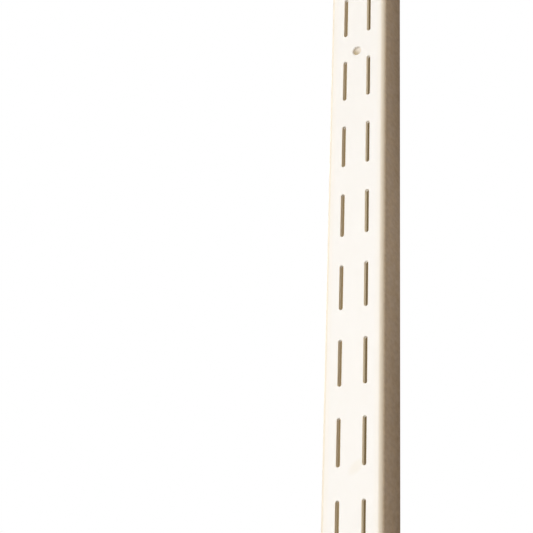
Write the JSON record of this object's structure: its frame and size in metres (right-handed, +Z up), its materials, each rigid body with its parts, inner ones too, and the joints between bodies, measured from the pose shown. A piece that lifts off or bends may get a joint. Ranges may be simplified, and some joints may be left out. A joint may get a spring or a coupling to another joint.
{
  "type": "slotted shelf upright",
  "caption": "Wall-fixed steel channel with rows of paired upright slots that shelf brackets hook into, and countersunk screw holes on its centre line.",
  "frame": {"origin": "middle of the bottom end, midway between the front face and the wall", "axes": "+Z up the upright, from its bottom end to its top end; the front faces -Y and the wall is at +Y; X runs across the front, and the part is the same on both sides of X = 0"},
  "size_m": [0.0268, 0.0154, 0.512],
  "materials": {
    "white_enamel": "warm white stoved enamel, satin"
  },
  "bodies": {
    "root": {"upright": "white_enamel"}
  },
  "joints": []
}
